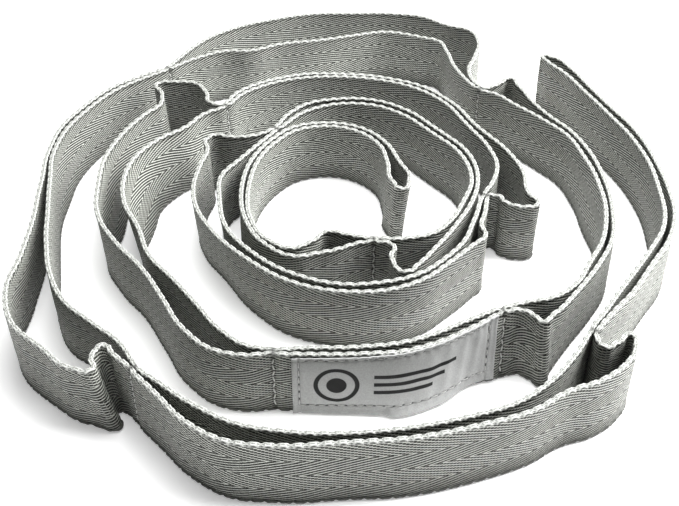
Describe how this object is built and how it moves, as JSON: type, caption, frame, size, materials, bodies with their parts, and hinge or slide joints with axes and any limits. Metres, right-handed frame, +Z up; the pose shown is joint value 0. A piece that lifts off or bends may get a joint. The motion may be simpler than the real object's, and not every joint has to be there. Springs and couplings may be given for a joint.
{
  "type": "stretching strap",
  "caption": "Flat woven strap folded double and sewn across at intervals into hand loops, with a small sewn label; stands loosely coiled on its edge.",
  "frame": {"origin": "middle of the coil's bounding box, on the surface that the strap stands on", "axes": "+Z up along the webbing's width; +Y along the coil's longer side, away from the label; +X to the right of it"},
  "size_m": [0.2322, 0.2673, 0.025],
  "materials": {
    "webbing": "glossy herringbone weave with braided edges",
    "thread": "twisted filament sewing thread",
    "label": "woven satin"
  },
  "bodies": {
    "root": {"label_section_back_ply": "webbing", "label_section_front_ply_end": "webbing", "label_section_front_ply_start": "webbing", "loop_01_webbing": "webbing", "loop_02_inner_ply": "webbing", "loop_02_outer_ply": "webbing", "loop_03_inner_ply": "webbing", "loop_03_outer_ply": "webbing", "loop_04_inner_ply": "webbing", "loop_04_outer_ply": "webbing", "loop_05_inner_ply": "webbing", "loop_05_outer_ply": "webbing", "loop_06_inner_ply": "webbing", "loop_06_outer_ply": "webbing", "loop_07_inner_ply": "webbing", "loop_07_outer_ply": "webbing", "loop_08_inner_ply": "webbing", "loop_08_outer_ply": "webbing", "loop_09_inner_ply": "webbing", "loop_09_outer_ply": "webbing", "loop_10_webbing": "webbing", "cross_seam_01": "thread", "cross_seam_02": "thread", "cross_seam_03": "thread", "cross_seam_04": "thread", "cross_seam_05": "thread", "cross_seam_06": "thread", "cross_seam_07": "thread", "cross_seam_08": "thread", "cross_seam_09": "thread", "cross_seam_10": "thread", "label": "label", "label_stitching": "thread"}
  },
  "joints": []
}
